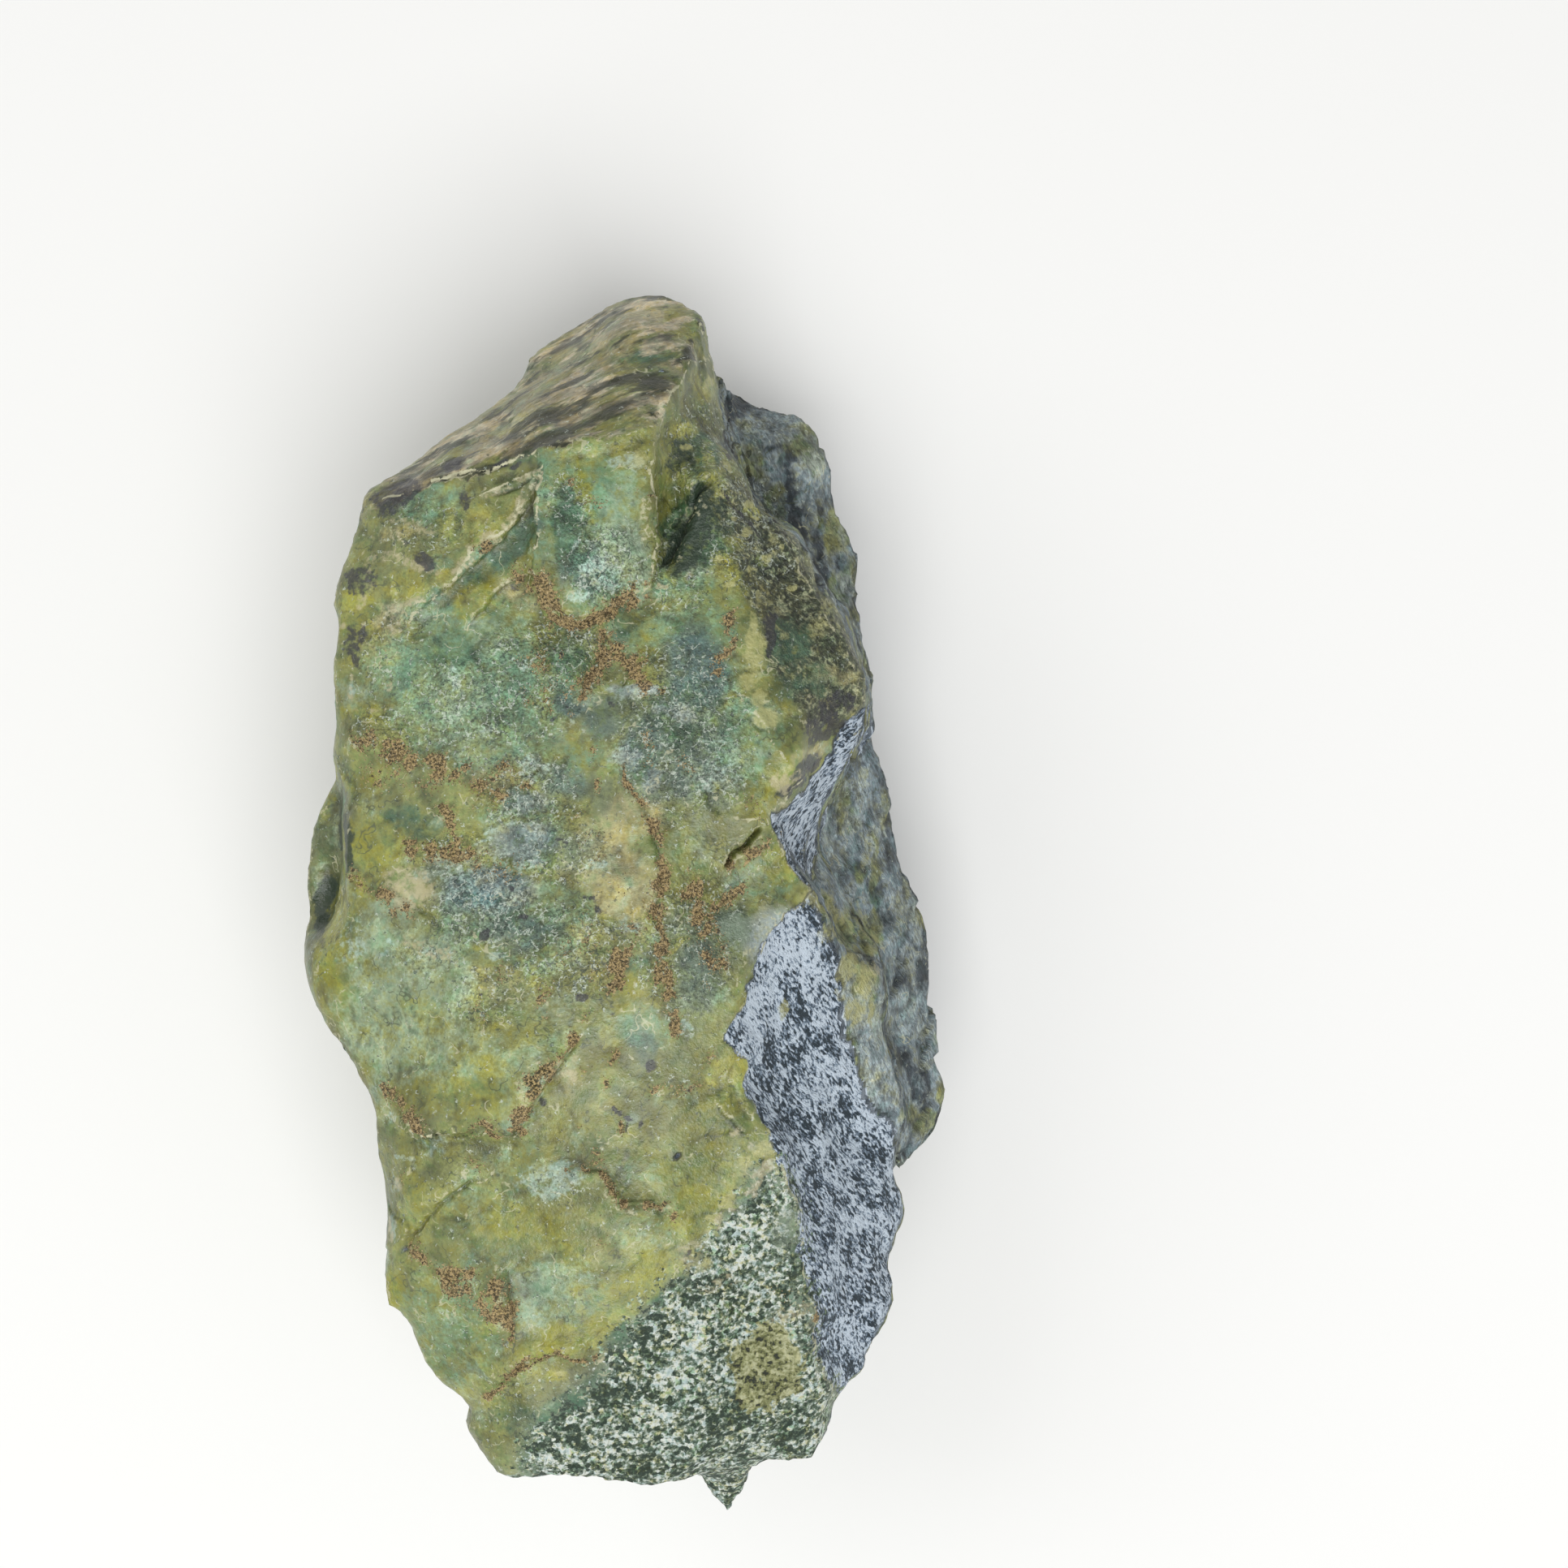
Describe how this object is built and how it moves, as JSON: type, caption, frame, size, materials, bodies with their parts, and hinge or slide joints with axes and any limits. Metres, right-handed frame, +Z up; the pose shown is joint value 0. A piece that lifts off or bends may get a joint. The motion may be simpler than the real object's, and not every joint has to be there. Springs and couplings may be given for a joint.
{
  "type": "raw serpentine",
  "caption": "Hand-sized raw serpentine stone with a broad waxy broken face, a steep fibrous flank and a flat underside to rest on.",
  "frame": {"origin": "centre of the bounding box, at the flat underside that the stone rests on", "axes": "+Y along the stone towards the narrow top knob, +Z up out of the broad waxy face, +X towards the steep fibrous flank"},
  "size_m": [0.068, 0.131, 0.052],
  "materials": {
    "serpentine": "waxy, broken"
  },
  "bodies": {
    "root": {"serpentine_stone": "serpentine"}
  },
  "joints": []
}
